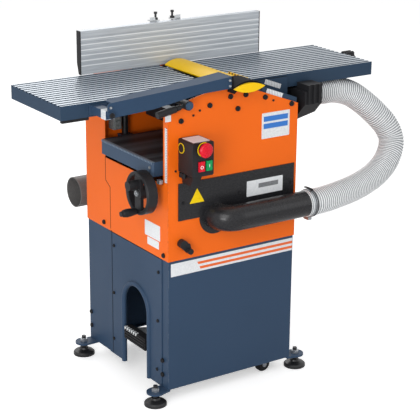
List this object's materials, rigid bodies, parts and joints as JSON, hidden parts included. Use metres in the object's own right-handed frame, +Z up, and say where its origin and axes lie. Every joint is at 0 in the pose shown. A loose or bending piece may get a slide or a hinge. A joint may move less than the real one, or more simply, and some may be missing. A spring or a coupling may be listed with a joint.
{
  "type": "combination planer thicknesser",
  "caption": "Combination planer thicknesser: sheet steel cabinet, grooved planing tables over a knife cutter, tilting fence, guard, rising table and ribbed chip hose.",
  "frame": {"origin": "on the floor under the middle of the outline, without the hose", "axes": "+X along the tables towards the depth knob, +Y away from the operator, +Z up"},
  "size_m": [1.2417, 0.724, 1.107],
  "materials": {
    "orange_paint": "satin powder coat",
    "slate_paint": "satin powder coat",
    "cast_aluminium": "machined, grooved",
    "zinc_steel": "zinc plated",
    "ground_steel": "ground",
    "black_plastic": "moulded, fine texture",
    "yellow_paint": "satin",
    "red_plastic": "gloss",
    "green_plastic": "gloss",
    "black_rubber": "matte",
    "hose_plastic": "soft, ribbed"
  },
  "bodies": {
    "machine": {"base_front": "slate_paint", "base_rear": "slate_paint", "base_left": "slate_paint", "base_right": "slate_paint", "deck_plate": "zinc_steel", "foot_brackets": "slate_paint", "levelling_feet": "zinc_steel", "body_front": "orange_paint", "body_rear": "orange_paint", "body_left": "orange_paint", "drive_side_cover": "orange_paint", "body_right": "orange_paint", "front_frame": "orange_paint", "rear_frame": "orange_paint", "cross_bars": "zinc_steel", "guide_posts": "ground_steel", "lift_gearbox": "slate_paint", "cutter_bearings": "ground_steel", "motor": "slate_paint", "drive_belt": "black_rubber", "feed_gearbox": "slate_paint", "feed_chains": "zinc_steel", "left_table": "cast_aluminium", "guard_bracket": "zinc_steel", "switch_box": "black_plastic", "front_duct": "black_plastic", "rear_duct": "black_plastic", "chip_hood": "black_plastic", "hose_adapter": "black_plastic", "dust_hose": "hose_plastic", "hose_clamps": "zinc_steel"},
    "pedal": {"pedal_arms": "ground_steel", "pedal_tread": "black_plastic"},
    "front_wheel": {"wheel_front": "black_rubber"},
    "rear_wheel": {"wheel_rear": "black_rubber"},
    "handwheel": {"handwheel_shaft": "ground_steel", "handwheel": "black_plastic"},
    "grip": {"handwheel_grip": "black_plastic"},
    "rise_table": {"thicknesser_table": "slate_paint", "lift_screw": "ground_steel"},
    "cutter": {"cutter_block": "ground_steel", "cutter_knives": "ground_steel", "cutter_pulley": "ground_steel"},
    "motor_shaft": {"motor_pulley": "ground_steel"},
    "infeed_roll": {"infeed_roller": "ground_steel"},
    "outfeed_roll": {"outfeed_roller": "ground_steel"},
    "fingers": {"kickback_fingers": "zinc_steel"},
    "lever": {"feed_lever": "black_plastic"},
    "infeed_table": {"right_table": "cast_aluminium"},
    "knob": {"depth_knob": "black_plastic"},
    "clamp": {"table_clamp": "black_plastic"},
    "carriage": {"fence_carriage": "zinc_steel"},
    "fence": {"fence": "cast_aluminium", "fence_caps": "black_plastic"},
    "guard_arm": {"guard_arm": "slate_paint", "guard_holder": "black_plastic"},
    "guard": {"guard_plate": "yellow_paint"},
    "mushroom": {"stop_mushroom": "red_plastic"},
    "start": {"start_button": "green_plastic"},
    "stop": {"stop_button": "red_plastic"}
  },
  "joints": [
    {"name": "pedal_press", "type": "hinge", "parent": "machine", "child": "pedal", "pos_m": [0.164, -0.0515, 0.066], "axis": [0, -1, 0], "range_deg": [0, 8], "stiffness_Nm_per_rad": 60, "springref_deg": -20.05},
    {"name": "front_wheel_roll", "type": "hinge", "parent": "pedal", "child": "front_wheel", "pos_m": [0.104, -0.2245, 0.028], "axis": [0, 1, 0], "continuous": true},
    {"name": "rear_wheel_roll", "type": "hinge", "parent": "pedal", "child": "rear_wheel", "pos_m": [0.104, 0.1915, 0.028], "axis": [0, 1, 0], "continuous": true},
    {"name": "handwheel_turn", "type": "hinge", "parent": "machine", "child": "handwheel", "pos_m": [-0.336, -0.1915, 0.673], "axis": [1, 0, 0], "range_deg": [-1351, 4052]},
    {"name": "grip_spin", "type": "hinge", "parent": "handwheel", "child": "grip", "pos_m": [-0.376, -0.1915, 0.618], "axis": [1, 0, 0], "continuous": true},
    {"name": "table_lift", "type": "slide", "parent": "machine", "child": "rise_table", "axis": [0, 0, 1], "range_m": [-0.015, 0.045]},
    {"name": "cutter_spin", "type": "hinge", "parent": "machine", "child": "cutter", "pos_m": [-0.036, -0.0515, 0.937], "axis": [0, 1, 0], "continuous": true},
    {"name": "motor_spin", "type": "hinge", "parent": "machine", "child": "motor_shaft", "pos_m": [-0.036, 0.1785, 0.372], "axis": [0, 1, 0], "continuous": true},
    {"name": "infeed_spin", "type": "hinge", "parent": "machine", "child": "infeed_roll", "pos_m": [-0.116, -0.0515, 0.917], "axis": [0, 1, 0], "continuous": true},
    {"name": "outfeed_spin", "type": "hinge", "parent": "machine", "child": "outfeed_roll", "pos_m": [0.044, -0.0515, 0.917], "axis": [0, 1, 0], "continuous": true},
    {"name": "finger_swing", "type": "hinge", "parent": "machine", "child": "fingers", "pos_m": [-0.164, -0.0515, 0.917], "axis": [0, -1, 0], "range_deg": [0, 24]},
    {"name": "feed_engage", "type": "hinge", "parent": "machine", "child": "lever", "pos_m": [-0.236, -0.2715, 0.519], "axis": [0, -1, 0], "range_deg": [0, 55]},
    {"name": "infeed_table_slide", "type": "slide", "parent": "machine", "child": "infeed_table", "axis": [0.9354, 0, -0.3535], "range_m": [0, 0.0085]},
    {"name": "depth_turn", "type": "hinge", "parent": "infeed_table", "child": "knob", "pos_m": [0.579, -0.0165, 0.945], "axis": [1, 0, 0], "range_deg": [0, 1531]},
    {"name": "clamp_turn", "type": "hinge", "parent": "machine", "child": "clamp", "pos_m": [-0.225, -0.2515, 0.943], "axis": [0, -1, 0], "range_deg": [0, 25]},
    {"name": "fence_slide", "type": "slide", "parent": "machine", "child": "carriage", "axis": [0, -1, 0], "range_m": [0, 0.12]},
    {"name": "fence_tilt", "type": "hinge", "parent": "carriage", "child": "fence", "pos_m": [-0.116, 0.1335, 0.995], "axis": [-1, 0, 0], "range_deg": [0, 45]},
    {"name": "guard_lift", "type": "hinge", "parent": "machine", "child": "guard_arm", "pos_m": [-0.483, -0.2865, 0.95], "axis": [0, -1, 0], "range_deg": [0, 20]},
    {"name": "guard_slide", "type": "slide", "parent": "guard_arm", "child": "guard", "axis": [0, -1, 0], "range_m": [0, 0.12]},
    {"name": "mushroom_press", "type": "slide", "parent": "machine", "child": "mushroom", "axis": [0, 1, 0], "range_m": [0, 0.005]},
    {"name": "start_press", "type": "slide", "parent": "machine", "child": "start", "axis": [0, 1, 0], "range_m": [0, 0.003], "stiffness_N_per_m": 500, "springref_m": -0.002},
    {"name": "stop_press", "type": "slide", "parent": "machine", "child": "stop", "axis": [0, 1, 0], "range_m": [0, 0.003], "stiffness_N_per_m": 500, "springref_m": -0.002}
  ],
  "couplings": [
    {"joint": "handwheel_turn", "follows": "table_lift", "rad_per_m": 1570.8},
    {"joint": "motor_spin", "follows": "cutter_spin", "ratio": 0.5},
    {"joint": "outfeed_spin", "follows": "infeed_spin", "ratio": 1},
    {"joint": "depth_turn", "follows": "infeed_table_slide", "rad_per_m": 3141.6},
    {"joint": "guard_slide", "follows": "fence_slide", "ratio": 1}
  ]
}
